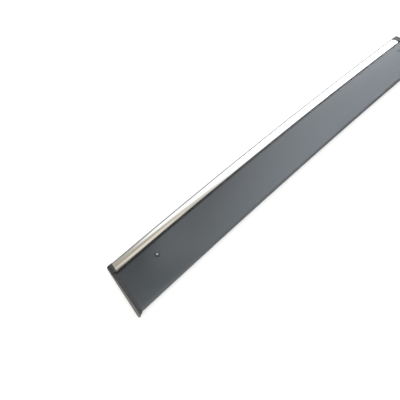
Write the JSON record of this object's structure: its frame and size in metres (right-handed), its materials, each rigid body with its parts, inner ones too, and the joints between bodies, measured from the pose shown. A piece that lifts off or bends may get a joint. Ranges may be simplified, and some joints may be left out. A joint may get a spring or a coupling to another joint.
{
  "type": "window deflector",
  "caption": "Long smoked blade for a car side window with a bright trim strip along its top flange, black end caps and foam mounting tape.",
  "frame": {"origin": "middle of the tape liner's face at mid-length, on the plane of the door's face", "axes": "+X along the blade to its narrow far end, +Y to the top edge with the trim, +Z out of the door, towards the outer face"},
  "size_m": [0.7791, 0.0988, 0.0189],
  "materials": {
    "smoked_plastic": "smoked, clear and glossy",
    "bright_trim": "polished",
    "black_plastic": "satin moulded",
    "foam_tape": "closed-cell foam",
    "red_liner": "smooth film"
  },
  "bodies": {
    "root": {"shield": "smoked_plastic", "trim_strip": "bright_trim", "trim_tape": "foam_tape", "near_end_cap": "black_plastic", "far_end_cap": "black_plastic", "mounting_tape": "foam_tape", "tape_liner": "red_liner"}
  },
  "joints": []
}
